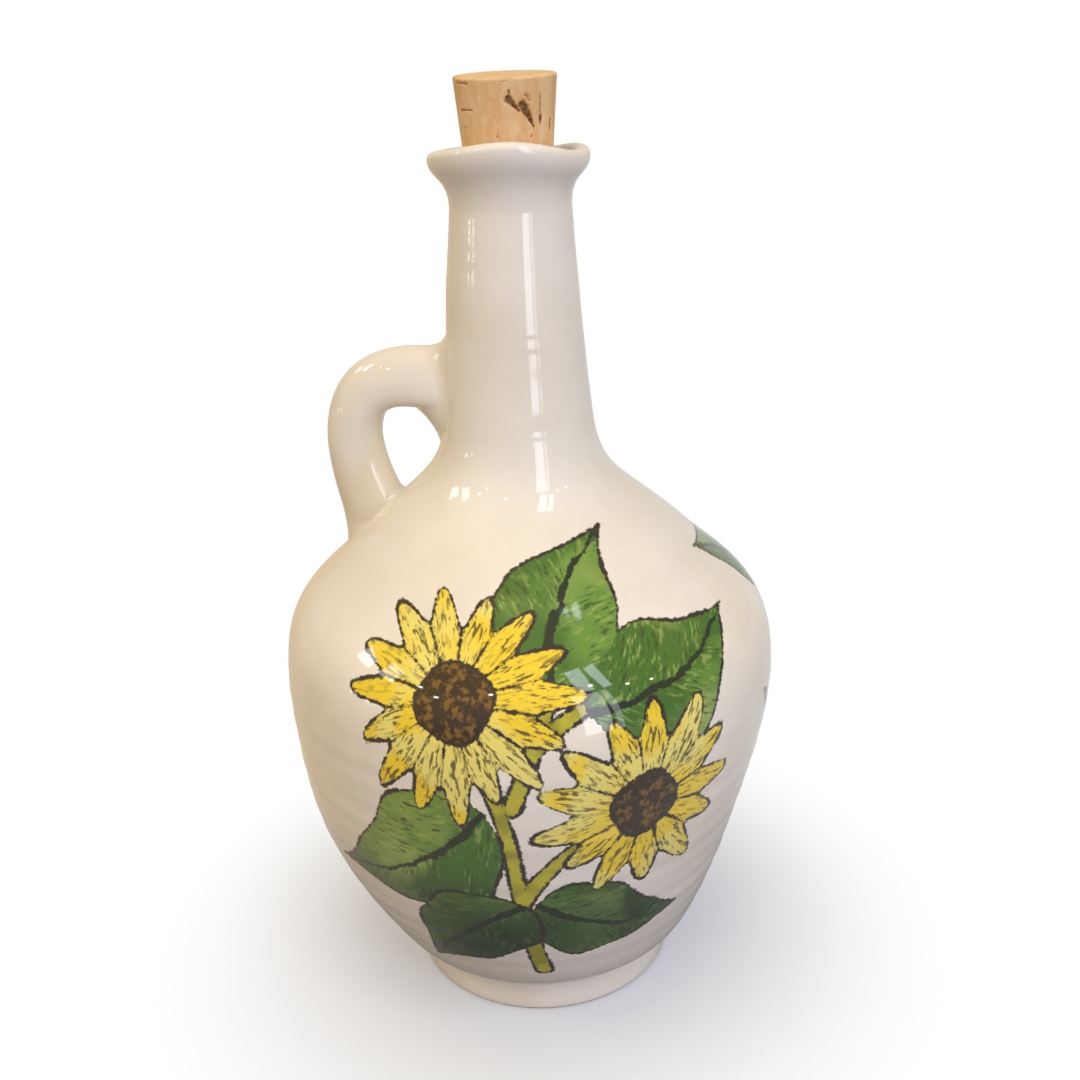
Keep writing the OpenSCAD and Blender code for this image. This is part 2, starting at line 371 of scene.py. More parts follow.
def cork_radius(z):
    """The cork's radius at a height, on a straight taper between its two ends."""
    return CORK_LOW_R + (CORK_TOP_R - CORK_LOW_R) * (z - cork_low_z) / (cork_top_z - cork_low_z)


def waved(points):
    """The lip lifted or lowered by a sum of cosines and sines of one to four times the angle round it.
    The lift fades out from the rim down to the throat."""
    x, y, z = np.moveaxis(points, -1, 0)
    angle = np.arctan2(y, x)
    waves = enumerate(zip(LIP_COS, LIP_SIN), start=1)
    lift = LIP_MEAN + sum(a * np.cos(k * angle) + b * np.sin(k * angle) for k, (a, b) in waves)
    return np.stack([x, y, z + lift * step_up(z, THROAT[1] + 1, FLARE_Z)], -1)


seat_low = (cork_radius(THROAT[1] - SEAT_HALF) + CORK_GAP, THROAT[1] - SEAT_HALF)
seat_high = (cork_radius(THROAT[1] + SEAT_HALF) + CORK_GAP, THROAT[1] + SEAT_HALF)
lip_in_r = LIP_R - LIP_T
lip_out = cubic(THROAT, lean(THROAT, 0, LIP_ARMS[0]), (LIP_R, FLARE_Z - LIP_ARMS[1]), (LIP_R, FLARE_Z))
lip_edge = arc((LIP_R - LIP_T / 2, FLARE_Z), (LIP_T / 2, LIP_ROUND), 0, 180)
lip_in = cubic(
    (lip_in_r, FLARE_Z), (lip_in_r, FLARE_Z - LIP_ARMS[2]), lean(seat_high, SEAT_SPLAY, LIP_ARMS[3]),
    seat_high)
bore = np.array([seat_high, seat_low, (JOINT[0] - WALL, JOINT[1])])
neck_line = joined(
    even(neck_side, 0.7), even(lip_out, 0.6), even(lip_edge, 0.35), even(lip_in, 0.6), even(bore, 2.0))
neck = skin("waved_neck", thrown(waved(turned(neck_line, NECK_COLS))), loop=True)
place(neck, "bottle", "neck")

# %% [markdown]
# ## Foot ring
# The foot was turned from leather-hard clay, so it is the truest part of the pot. Its profile is a small
# closed loop with rounded standing edges and a hollow cove under the belly.

# %% Foot ring
FOOT_W = 7.0
FOOT_EDGE = 1.0
COVE = (4, 5)
FOOT_COLS = 320

foot_in_r = foot_r - FOOT_W
foot_line = joined(
    np.linspace((foot_in_r + FOOT_EDGE, foot_z), (foot_r - FOOT_EDGE, foot_z), 6),
    arc((foot_r - FOOT_EDGE, foot_z + FOOT_EDGE), (FOOT_EDGE, FOOT_EDGE), -90, 0, 10),
    cubic((foot_r, foot_z + FOOT_EDGE), (foot_r, foot_z + COVE[0]), (WAIST[0], waist_z - COVE[1]), WAIST, 16),
    np.linspace(WAIST, (WAIST[0] - FOOT_W, waist_z), 4),
    np.linspace((WAIST[0] - FOOT_W, waist_z), (foot_in_r, foot_z + FOOT_EDGE), 10),
    arc((foot_in_r + FOOT_EDGE, foot_z + FOOT_EDGE), (FOOT_EDGE, FOOT_EDGE), 180, 270, 10))[:-1]
foot = skin("turned_foot", thrown(turned(foot_line, FOOT_COLS)), loop=True)
place(foot, "bottle", "foot_ring")

# %% [markdown]
# ## Handle
# The handle is a pulled strap of clay, bent over and stuck to the neck and the shoulder. Its middle line is
# one cubic curve, and an oval that swells towards both roots is carried along it until its skin dips into
# the bottle's wall, sooner on some sides of the oval than on others. The loop doesn't point straight to
# the left: it is turned a little to the back, as the photograph shows.

# %% Handle's shape
ROOT_RISE = 9.2
HANDLE_RUN = (33.3, 7.1)
FOOT_REACH = 40.2
HANDLE_BOW = (6.2, 16.3)
THICK = (17.0, 14.8, 18.6)
STRAP_HALF = 6.0
ROOT_SWELL = (1.6, 0.6)
HANDLE_TURN = math.radians(10)
EGG = 0.35
ROUND = 96

upper_root = np.array([radius_at(JOINT[1] + ROOT_RISE), JOINT[1] + ROOT_RISE])
lower_root = np.array([FOOT_REACH, height_at(FOOT_REACH)])
handle_line = (upper_root, upper_root + HANDLE_RUN, lower_root + HANDLE_BOW, lower_root)
section = np.linspace(0, 2 * math.pi, ROUND, endpoint=False)


def strap(t, less=0.0):
    """Points of the handle's skin at shares t of its middle line, with one column for each angle of the oval.

    Each is the middle, plus half the thickness times the angle's cosine square to the way, and half the
    width times its sine along Y. Near the neck the cosine loses a share of the sine's square, which makes
    the oval an egg with its broad flank outwards. The width grows in smooth steps towards the roots. Past
    its ends the middle runs on straight. less makes the strap slimmer, and the whole is turned about Z."""
    a, b, c, d = handle_line
    t = t + 0 * section
    k = np.clip(t, 0, 1)[..., None]
    mid = on_cubic(k, a, b, c, d)
    way = 3 * ((1 - k) ** 2 * (b - a) + 2 * k * (1 - k) * (c - b) + k ** 2 * (d - c))
    mid = mid + (t[..., None] - k) * way
    way = unit(way)
    near_neck = 1 - step_up(t, -0.1, 0.4)
    near_belly = step_up(t, 0.66, 1.06)
    k = k[..., 0]
    upper, middle, lower = THICK
    thick = upper * (1 - k) ** 2 + (4 * middle - upper - lower) * k * (1 - k) + lower * k ** 2
    egg = EGG * (1 - step_up(t, 0.3, 0.65))
    half = (thick / 2 - less) * (np.cos(section) - egg * np.sin(section) ** 2)
    wide = STRAP_HALF + ROOT_SWELL[0] * near_neck + ROOT_SWELL[1] * near_belly - less
    x = way[..., 1] * half - mid[..., 0]
    y = wide * np.sin(section)
    z = mid[..., 1] + way[..., 0] * half
    turned_x = x * math.cos(HANDLE_TURN) + y * math.sin(HANDLE_TURN)
    return np.stack([turned_x, y * math.cos(HANDLE_TURN) - x * math.sin(HANDLE_TURN), z], -1)


def meets_wall(tries):
    """For each angle of the oval, the first share tried at which the skin is inside the bottle's outside."""
    x, y, z = np.moveaxis(strap(tries[:, None]), -1, 0)
    return tries[np.argmax(np.hypot(x, y) < radius_at(z), axis=0)]


upper_meet = meets_wall(np.linspace(0.25, -0.25, 4000))
lower_meet = meets_wall(np.linspace(0.7, 1.4, 4000))
print("handle meets the neck from", upper_meet.min().round(3), "to", upper_meet.max().round(3))

# %% [markdown]
# ## Welds
# At each root soft clay was smeared on to weld the strap: a small fillet at the sides, and a full web under
# the upper root. Where the strap meets the wall there is a corner. Each fillet curve starts on the wall,
# bends towards that corner and leaves along the strap. It ends on the wall with the small step that a
# thumb leaves.

# %% Welds
UPPER_WELD = {
    "on_clay": (4.8, 9.6, 1.8), "on_strap": (6.0, 14.0, 2.6), "pull": (0.6, 0.3, 0.6), "lip": 0.6}
LOWER_WELD = {
    "on_clay": (3.6, 1.0, 0.9), "on_strap": (10, 2.6, 1.3), "pull": (0.5, 0.5, 0.6), "lip": 0.35}
WELD_ROWS = 22
SINK = 0.6


def by_side(outer, inner, side):
    """A value for each angle of the oval, from those for its outer, inner and flat sides."""
    c = np.cos(section)
    return outer * np.maximum(c, 0) ** 2 + inner * np.minimum(c, 0) ** 2 + side * np.sin(section) ** 2


def on_wall(points):
    """Points moved level to the bottle's outside, and the wall's outward directions there."""
    x, y, z = np.moveaxis(points, -1, 0)
    r = np.hypot(x, y)
    out = np.stack([x / r, y / r, radius_at(z - 0.5) - radius_at(z + 0.5)], -1)
    moved = np.stack([x * radius_at(z) / r, y * radius_at(z) / r, z], -1)
    return moved, unit(out)


def painted_shade_share(t):
    """Painted shade, 0 to 1, on the glaze: it rises towards the lower root and on the loop's inner side."""
    return np.clip(step_up(t, 0.55, 0.88) + np.maximum(-np.cos(section), 0), 0, 1)


def weld(name, meet, speed, on_clay, on_strap, pull, lip):
    """A fillet between the wall and the strap, and the shares of the strap at which it ends.

    For each angle of the oval a cubic goes from a place on the wall beside the corner to a place on the
    strap past it. Its inner points lie a share, pull, of the way to the corner: one from the wall, raised by
    lip, which leaves a small step where the smeared clay ends, and one back along the strap. Two more rows
    sink into the wall and the strap, and the rows close as a loop."""
    corner, out = on_wall(strap(meet))
    aside = unit(np.cross(np.roll(corner, -1, 0) - np.roll(corner, 1, 0), out))
    aside = aside * np.sign((aside * (corner - corner.mean(0))).sum())
    edge, out = on_wall(corner + aside * by_side(*on_clay)[:, None])
    end = meet + by_side(*on_strap) / speed
    ring = strap(end)
    share = by_side(*pull)[:, None]
    t = np.linspace(0, 1, WELD_ROWS)[:, None, None]
    away = unit(strap(end + 0.01 * np.sign(speed)) - ring)
    b = edge + share * (corner - edge) + lip * out
    c = ring - share * np.linalg.norm(corner - ring, axis=-1, keepdims=True) * away
    fillet = on_cubic(t, edge, b, c, ring)
    grid = np.concatenate([[edge - SINK * out], fillet, [strap(end, SINK), strap(meet, 2.5 * SINK)]])
    made = skin(name, thrown(grid), loop=True)
    # Painted shade, rising from the weld's edge on the wall towards the strap.
    store(made, "painted_shade", painted_shade_share(end) * np.linspace(0.2, 1, len(grid))[:, None])
    return made, end


upper_speed = 3 * np.linalg.norm(handle_line[1] - handle_line[0])
lower_speed = -3 * np.linalg.norm(handle_line[3] - handle_line[2])
upper_weld, upper_end = weld("upper_weld", upper_meet, upper_speed, **UPPER_WELD)
place(upper_weld, "bottle", "upper_handle_weld")
lower_weld, lower_end = weld("lower_weld", lower_meet, lower_speed, **LOWER_WELD)
place(lower_weld, "bottle", "lower_handle_weld")

# %% [markdown]
# ## The loop between the welds
# The handle proper runs from the end of one weld to the end of the other. On the real pot no seam shows
# there, because wet clay was wiped over it. So the last rows dip under the welds' skins, and a fan closes
# each end where nobody sees it.

# %% Handle between the welds
HANDLE_ROWS = 110

shares = upper_end + (lower_end - upper_end) * np.linspace(0, 1, HANDLE_ROWS)[:, None]
shares = np.concatenate([[upper_meet, upper_end], shares, [lower_end, lower_meet]])
sunk = np.zeros(len(shares))
sunk[[0, 1, -2, -1]] = 2 * SINK, SINK, SINK, 2 * SINK
handle = skin("pulled_handle", thrown(strap(shares, sunk[:, None])), loop=False)
# Painted shade towards the lower root and on the loop's inner side.
store(handle, "painted_shade", painted_shade_share(shares))
place(handle, "bottle", "handle")

# %% [markdown]
# ## Cork
# A tapered cork is turned from bark, so its sides cut through the bark's pores. They show as dark pits,
# some long and torn. Each pit is a soft dent in the surface, and its depth is kept on the points as a
# value that the finish can darken. A pit is a stroke: bearing and height of its start and of its end, half
# its width at both, and its depth.

# %% Cork
CORK_COLS = 260
CORK_EDGE = 0.5
PIT_SINK = 0.55
SIDE_FROM_R = 5
PITS = (
    (2.5, 245.9, 14.7, 243.1, 0.75, 0.15, 1.0), (19, 244.4, 25.6, 242.3, 0.9, 0.85, 1.0),
    (25.6, 242.3, 33, 239.3, 0.75, 0.1, 1.0), (23, 246.6, 28, 245.6, 0.5, 0.5, 0.35),
    (41.6, 246.8, 43, 241.6, 0.12, 0.4, 0.5), (43, 241.4, 43.6, 239.7, 0.45, 0.2, 0.9),
    (62.3, 240.4, 63, 238.2, 0.25, 0.35, 0.8), (3.6, 247.8, 3.6, 247.4, 0.3, 0.3, 0.5),
    (-3, 249.7, 2, 249.7, 0.12, 0.16, 0.45), (-67, 249.4, -46, 249.4, 0.1, 0.22, 0.5),
    (-65, 243.3, -42, 243.4, 0.22, 0.1, 0.55), (-67, 239, -52, 239.4, 0.2, 0.1, 0.3),
    (-11.6, 238.9, -11.7, 238.8, 0.14, 0.14, 0.8), (-11.9, 238.2, -12, 238.1, 0.14, 0.14, 0.8),
    (-12.2, 237.5, -12.3, 237.4, 0.14, 0.14, 0.8), (30, 237.2, 30.2, 237.1, 0.2, 0.2, 0.8),
    (120, 246, 128, 242, 0.8, 0.2, 1.0), (150, 240, 172, 240.4, 0.3, 0.1, 0.6),
    (205, 247, 214, 243.5, 0.6, 0.3, 0.9), (240, 241, 242, 238.6, 0.5, 0.2, 0.8),
    (100, 239, 101, 238.7, 0.2, 0.2, 0.7), (260, 246.5, 275, 246.3, 0.2, 0.1, 0.5))

cork_line = joined(
    np.linspace((0.4, cork_low_z), (CORK_LOW_R - CORK_EDGE, cork_low_z), 10),
    arc((CORK_LOW_R - CORK_EDGE, cork_low_z + CORK_EDGE), (CORK_EDGE, CORK_EDGE), -90, 0, 6),
    even(np.array([(CORK_LOW_R, cork_low_z + CORK_EDGE), (CORK_TOP_R, cork_top_z - CORK_EDGE)]), 0.32),
    arc((CORK_TOP_R - CORK_EDGE, cork_top_z - CORK_EDGE), (CORK_EDGE, CORK_EDGE), 0, 90, 6),
    even(np.array([(CORK_TOP_R - CORK_EDGE, cork_top_z), (0.4, cork_top_z)]), 0.4))
cork_grid = turned(cork_line, CORK_COLS)


def pits(points):
    """Depth, 0 to 1, of the cork's pits. It falls off with the distance from a stroke over half its width."""
    x, y, z = np.moveaxis(points, -1, 0)
    bearing = np.degrees(np.arctan2(x, -y))
    deep = np.zeros(x.shape)
    for from_b, from_z, to_b, to_z, from_w, to_w, depth in PITS:
        across = np.radians((bearing - from_b + 180) % 360 - 180) * CORK_TOP_R
        up = z - from_z
        run_x, run_z = math.radians(to_b - from_b) * CORK_TOP_R, to_z - from_z
        share = np.clip((across * run_x + up * run_z) / (run_x ** 2 + run_z ** 2), 0, 1)
        away = np.hypot(across - share * run_x, up - share * run_z) / (from_w + (to_w - from_w) * share)
        deep = np.maximum(deep, depth * (1 - step_up(away, 0.1, 2.0)))
    return deep


cork_r = np.hypot(cork_grid[..., 0], cork_grid[..., 1])
pit_depth = pits(cork_grid) * (cork_r > SIDE_FROM_R)
shrink = 1 - PIT_SINK * pit_depth / np.maximum(cork_r, SIDE_FROM_R)
cork_grid = cork_grid * np.stack([shrink, shrink, np.ones_like(shrink)], -1)
cork = skin("tapered_cork", cork_grid, loop=False)
store(cork, "pit", pit_depth)
place(cork, "stopper", "cork_stopper")

# %% [markdown]
# ## The painting's shapes
# The belly carries a painted spray of sunflowers and leaves. Each shape is stored on the belly's points as
# a signed distance to its outline: below zero inside, above zero outside. A distance changes evenly, so
# the finish can draw a sharp line anywhere between the points. Shapes that overlap go on separate layers.

# %% Fields for leaves, flowers and stems
FAR = 60.0
STEEPEST = 8.0
LEAF_BASE = 0.62
LEAF_TIP = (0.9, 0.5)
LEAF_WAVE = 0.06
PETAL_CUT = 0.32
HEART_SHARE = 0.33
outer_rows = slice(len(base_rows), len(base_rows) + len(outside_rows))
canvas = turned(outside_rows, BELLY_COLS)


def belly_radius(z):
    """The belly's radius at a height."""
    return np.interp(z, belly_line[:, 1], belly_line[:, 0])


def spot(bearing, z):
    """A place on the belly, with its directions right, up and out, from a bearing in degrees to the right
    of the front and a height. Up follows the profile's slope."""
    angle = math.radians(bearing - 90)
    r = belly_radius(z)
    slope = (belly_radius(z + 1) - belly_radius(z - 1)) / 2
    right = np.array([-math.sin(angle), math.cos(angle), 0])
    up = unit(np.array([slope * math.cos(angle), slope * math.sin(angle), 1]))
    return np.array([r * math.cos(angle), r * math.sin(angle), z]), right, up, np.cross(right, up)


def flattened(bearing, z, tilt):
    """The canvas laid flat round a spot: two coordinates along and across a direction tilted from the right.

    Lengths are straight distances in space, so a shape keeps its size as the belly curves away."""
    place_at, right, up, out = spot(bearing, z)
    off = canvas - place_at
    turn_by = math.radians(tilt)
    along = off @ (right * math.cos(turn_by) + up * math.sin(turn_by))
    across = off @ (up * math.cos(turn_by) - right * math.sin(turn_by))
    flat = np.maximum(np.hypot(along, across), 1e-6)
    true = np.linalg.norm(off, axis=-1) / flat
    hidden = (off @ out) < -1.1 * belly_r
    return along * true, across * true, hidden


def to_slope(gap, steep):
    """The distance to a slanting outline: the gap straight across, over the root of one plus the slope's
    square, which is held below a limit."""
    return gap / np.sqrt(1 + np.minimum(steep ** 2, STEEPEST))


def leaf(bearing, z, tilt, length, width, bend):
    """Signed distance to a leaf's outline, the offset from its rib and the way along it.

    The half width is the sine of a half turn of a power of the share along, itself raised to a power that
    grows along the leaf. That is round at the base and drawn out at the tip. The rib bends to one side by a
    sine. Past the ends the distance is to the end."""
    along, across, hidden = flattened(bearing, z, tilt)
    t = np.clip(along / length, 0.001, 0.999)
    side = across - bend * np.sin(math.pi * t)
    table = np.linspace(0.001, 0.999, 200)
    widths = width / 2 * np.sin(math.pi * table ** LEAF_BASE) ** (LEAF_TIP[0] + LEAF_TIP[1] * table)
    widths = widths * (1 + LEAF_WAVE * np.sin(17 * table + bearing))
    steep = np.interp(t, table, np.gradient(widths, length * (table[1] - table[0])))
    edge = to_slope(np.abs(side) - np.interp(t, table, widths), steep)
    beyond = np.maximum(np.maximum(-along, along - length), 0)
    edge = np.where(beyond > 0, np.hypot(beyond, side), edge)
    return np.where(hidden, FAR, edge), side, along


def flower(bearing, z, tilt, size, petals):
    """Signed distance to a sunflower's outline, the offsets from the line between two petals and from the
    petal's own middle, the distance from the flower's middle, the petal's number and the signed distance to
    the heart.

    The outline's radius falls from each petal's tip by the square of the sine of the angle times half the
    number of petals. Slow sines of the angle make the petals uneven."""
    along, across, hidden = flattened(bearing, z, tilt)
    far = np.hypot(along, across)
    angle = np.arctan2(across, along)
    beat = np.abs(np.sin(angle * petals / 2))
    uneven = 1 + 0.06 * np.sin(3 * angle + bearing) + 0.05 * np.sin(7 * angle + z)
    outline = size * uneven * (1 - PETAL_CUT * beat ** 2)
    steep = size * PETAL_CUT * beat * np.abs(np.cos(angle * petals / 2)) * petals / np.maximum(far, 1)
    edge = to_slope(far - outline, steep)
    gap = far * np.cos(angle * petals / 2) * 2 / petals
    heart = far - HEART_SHARE * size * (1 + 0.05 * np.sin(4 * angle + z))
    number = np.round(angle * petals / (2 * math.pi))
    across_petal = far * np.sin(angle - number * 2 * math.pi / petals)
    return np.where(hidden, FAR, edge), gap, across_petal, far, number, heart


def stem(points, thick):
    """Signed distance to a stem: to the nearest of many places along a cubic of bearings and heights, less
    half its thickness, which thins towards its end."""
    bearing, z = cubic(*points, count=70).T
    angle = np.radians(bearing - 90)
    dots = np.stack([belly_radius(z) * np.cos(angle), belly_radius(z) * np.sin(angle), z], 1)
    half = thick / 2 * np.linspace(1.15, 0.8, len(dots))
    nearest = np.full(canvas.shape[:2], FAR)
    for dot, thin in zip(dots, half):
        nearest = np.minimum(nearest, np.linalg.norm(canvas - dot, axis=-1) - thin)
    return nearest


def layer(shapes):
    """Of several shapes' fields, the ones of the nearest shape at each point."""
    best, *others = (list(f) for f in zip(*shapes))
    pick = np.argmin(np.stack(best), axis=0)[None]
    return [np.take_along_axis(np.stack(f), pick, 0)[0] for f in (best, *others)]


# %% [markdown]
# ## The painting's layout
# A main stem rises from the foot and forks to two open sunflowers. Broad leaves fill the sides, and a
# second spray goes round to the back. Bearings are degrees to the right of the front, and each shape has
# the place of its base or middle, the tilt of its direction from the right, and its size.

# %% Layout of the spray
FLOWERS = ((-17.5, 114, 10, 30, 15), (24, 84, 0, 28, 13), (122, 98, 20, 29, 15))
LEAVES = (
    (3.4, 115, 69, 50, 36, 4), (12, 111, 27, 53, 36, -6), (-11, 86, 217, 58, 40, 5),
    (0.7, 55, -28, 46, 30, -3), (104, 70, 152, 50, 34, 4), (108, 62, 12, 50, 34, -4),
    (106, 108, 128, 42, 28, -3))
OVER_LEAVES = ((-2.4, 55, 232, 46, 30, -4), (112, 46, 200, 44, 27, 5), (135, 106, 27, 42, 28, 3))
STEMS = (
    ((0, 25), (-3, 52), (-3, 84), (-15, 105)), ((-2, 57), (2, 66), (8, 76), (20, 82)),
    ((-5, 88), (-2, 98), (1, 108), (4, 116)), ((0, 104), (4, 109), (8, 111), (13, 113)),
    ((110, 26), (102, 50), (108, 74), (121, 92)))
STEM_T = 4.2

LAYERS = (
    (leaf, LEAVES, ("leaf_edge", "leaf_side", "leaf_along")),
    (leaf, OVER_LEAVES, ("over_edge", "over_side", "over_along")),
    (flower, FLOWERS, ("petal_edge", "petal_gap", "petal_across", "petal_far", "petal_number", "heart_edge")))

fields = {"stem_edge": np.min([stem(points, STEM_T) for points in STEMS], axis=0)}
for shape, places, names in LAYERS:
    fields.update(zip(names, layer([shape(*values) for values in places])))
for name, values in fields.items():
    full = np.full(belly_grid.shape[:2], FAR)
    full[outer_rows] = values
    store(belly, name, full)
print("painting fields:", len(fields))

# %% [markdown]
# ## Shader helpers
# Colours are written as the eye sees them, in sRGB, and one function turns them to the linear values that
# light adds up in. One more function adds a node, sets it up and links it, so that a finish reads as a list.
# All of them work on the node tree in hand, which each finish sets anew.

# %% Helpers for finishes
def linear(code):
    """Linear RGBA of an sRGB hex colour: each channel c becomes ((c + 0.055) / 1.055) ^ 2.4 above 0.04045."""
    channels = [int(code[k:k + 2], 16) / 255 for k in (1, 3, 5)]
    return [c / 12.92 if c <= 0.04045 else ((c + 0.055) / 1.055) ** 2.4 for c in channels] + [1.0]


def new_finish(name):
    """An empty node material and its tree."""
    finish = bpy.data.materials.new(name)
    finish.use_nodes = True
    finish.node_tree.nodes.clear()
    return finish, finish.node_tree


def wear(finish, surface, *pieces):
    """Ends a finish with its surface and gives it to pieces."""
    add("ShaderNodeOutputMaterial", {0: surface})
    for made in pieces:
        made.data.materials.append(finish)
    print(finish.name, "nodes", len(finish.node_tree.nodes))


def add(kind, inputs=None, out=0, **settings):
    """Adds one node, sets its properties, fills or links its inputs and gives back one output.
    A colour's hex code becomes its linear value."""
    made = tree.nodes.new(kind)
    for name, value in settings.items():
        setattr(made, name, value)
    for key, value in (inputs or {}).items():
        if isinstance(value, bpy.types.NodeSocket):
            tree.links.new(value, made.inputs[key])
        else:
            made.inputs[key].default_value = linear(value) if isinstance(value, str) else value
    return made.outputs[out] if len(made.outputs) else made


def per_mm(size):
    """A texture's scale for a pattern of this size in millimetres, as coordinates are in metres."""
    return 1 / (size * MM)


def coordinates(kind="Object"):
    """The place that is being coloured, in metres."""
    return add("ShaderNodeTexCoord", out=kind)


def part_of(vector, axis):
    """One coordinate of a place."""
    return add("ShaderNodeSeparateXYZ", {0: vector}, out=axis)


def noise(at, size, detail, roughness=0.5, distortion=0.0, out=0):
    """Clouds of a size in millimetres, from 0 to 1, with a number of finer layers."""
    return add("ShaderNodeTexNoise", {
        "Vector": at, "Scale": per_mm(size), "Detail": detail, "Roughness": roughness,
        "Distortion": distortion}, out=out)


def cells(at, size, **settings):
    """Distances in a pattern of cells of a size in millimetres."""
    return add("ShaderNodeTexVoronoi", {"Vector": at, "Scale": per_mm(size)}, out="Distance", **settings)


def calc(operation, a, b=0.0):
    """One sum of two values, by the name of the operation."""
    return add("ShaderNodeMath", {0: a, 1: b}, operation=operation)


def times(a, b):
    """The product of two values."""
    return calc("MULTIPLY", a, b)


def stored(name):
    """A value kept on the points."""
    return add("ShaderNodeAttribute", out="Fac", attribute_name=name)


def ramp(value, low, high, start=0.0, end=1.0, shape="SMOOTHSTEP"):
    """A value taken from start at low to end at high, with soft ends unless the shape says otherwise."""
    return add("ShaderNodeMapRange", {0: value, 1: low, 2: high, 3: start, 4: end}, interpolation_type=shape)


def lay(under, cover, mask, blend="MIX"):
    """One colour laid over another through a mask."""
    return add("ShaderNodeMix", {0: mask, 6: under, 7: cover}, out=2, data_type="RGBA", blend_type=blend)


# %% [markdown]
# ## Cream glaze
# The bottle wears a white tin glaze: a layer of glass about a third of a millimetre thick, cream where it
# pools. It is glossy, its surface is very slightly wavy, and it is crazed with hair cracks from cooling.
# Glass has an IOR of about 1.5, and a fired gloss glaze a roughness under 0.1. The standing edge of the
# foot was wiped clean, so it shows the bare biscuit.

# %% Cream tin glaze
GLAZE = "#eee9e2"
GLAZE_THIN = "#e8e0d4"
GLAZE_POOL = "#f2ece2"
PAINTED_SHADE_CREAM = "#dfd3b8"
CRAZE = "#faf6ee"
CRACK_CELL = 17
CRACK_BEND = 4
GLASS_IOR = 1.5
BISCUIT = "#cdb79a"


def glaze_colour(at):
    """Colour of the bare glaze: slow drifts between thin and pooled glaze, faint hair cracks, and a deeper
    cream, painted shade, at the handle's roots and inside its loop, where a piece keeps a value for it."""
    drift = noise(at, 45, 3.0)
    body = lay(GLAZE_THIN, GLAZE, ramp(drift, 0.38, 0.66))
    body = lay(body, GLAZE_POOL, ramp(noise(at, 16, 2.0), 0.45, 0.75, 0.0, 0.5))
    bent = noise(at, 14, 1.0, out="Color")
    shift = add("ShaderNodeVectorMath", {0: bent, "Scale": CRACK_BEND * MM}, operation="SCALE")
    warped = add("ShaderNodeVectorMath", {0: at, 1: shift}, operation="ADD")
    hair = ramp(cells(warped, CRACK_CELL, feature="DISTANCE_TO_EDGE"), 0.002, 0.011, 1.0, 0.0, "LINEAR")
    faint = times(hair, ramp(drift, 0.4, 0.6, 0.08, 0.26, "LINEAR"))
    body = lay(body, CRAZE, faint)
    # A darker warm cream painted as shade where the handle meets the bottle and inside its loop.
    return lay(body, PAINTED_SHADE_CREAM, ramp(stored("painted_shade"), 0.0, 1.0, 0.0, 0.85, "LINEAR"))


def glaze_gloss(at, colour):
    """Glass over that colour, with a wavy surface a few millimetres across."""
    bump = add("ShaderNodeBump", {"Height": noise(at, 11, 1.5), "Strength": 0.35, "Distance": 0.25 * MM})
    rough = ramp(noise(at, 30, 2.0), 0.35, 0.7, 0.03, 0.07, "LINEAR")
    return add("ShaderNodeBsdfPrincipled", {
        "Base Color": colour, "Roughness": rough, "IOR": GLASS_IOR, "Normal": bump})


glaze, tree = new_finish("cream_tin_glaze")
place_in = coordinates()
bare = ramp(part_of(place_in, "Z"), 0.4 * MM, 0.9 * MM, 1.0, 0.0, "LINEAR")
tint = lay(glaze_colour(place_in), BISCUIT, bare)
wear(glaze, glaze_gloss(place_in, tint), neck, foot, handle, upper_weld, lower_weld)

# %% [markdown]
# ## The painter's brushes
# The painter drew on the raw glaze with a dark crayon-like pigment, filled the shapes with thin green and
# yellow washes and let them run, and the kiln melted all of it into one glossy skin. A crayon skips on the
# grain of dry glaze, so a line's width comes and goes, and a dry brush leaves streaks along its way.

# %% Brushes for the painting
OUTLINE = "#332a26"
OUTLINE_HALF = 0.45
LINE_SOFT = 0.25
FILL_SOFT = 0.15

painted, tree = new_finish("painted_tin_glaze")
place_in = coordinates()
dabs = noise(place_in, 8, 2.0)
washes = noise(place_in, 24, 1.5, distortion=0.6)
pools = noise(place_in, 32, 2.0, distortion=0.3)
ragged = ramp(noise(place_in, 1.3, 3.0, 0.65), 0.3, 0.7, -0.38, 0.38, "LINEAR")
uneven = ramp(dabs, 0.3, 0.7, -0.28, 0.28, "LINEAR")


def line(edge, half):
    """A crayon line along a distance of zero, with a grainy edge and a width that comes and goes."""
    off = calc("ADD", calc("ABSOLUTE", edge), uneven)
    return ramp(calc("ADD", off, ragged), half - LINE_SOFT, half + LINE_SOFT, 1.0, 0.0)


def filled(under, edge, cover):
    """A colour inside a shape, with a crayon line round it."""
    inside_it = ramp(edge, -FILL_SOFT, FILL_SOFT, 1.0, 0.0)
    return lay(lay(under, cover, inside_it), OUTLINE, line(edge, OUTLINE_HALF))


def strokes(x, y, sheet, wide, long):
    """Dry brush marks: noise over two distances in millimetres, drawn out along the second. Each sheet
    number gives other marks."""
    flat = add("ShaderNodeCombineXYZ", {0: x, 1: y, 2: sheet})
    drawn = add("ShaderNodeMapping", {"Vector": flat, "Scale": (1 / wide, 1 / long, 7.3)})
    return add("ShaderNodeTexNoise", {"Vector": drawn, "Scale": 1.0, "Detail": 2.5, "Roughness": 0.6})


# %% [markdown]
# ## Leaves
# The leaves give the painting its depth: a light, a mid and a deep green run into each other, with dark
# streaks along the veins. Each has a darker tone for low on the belly.

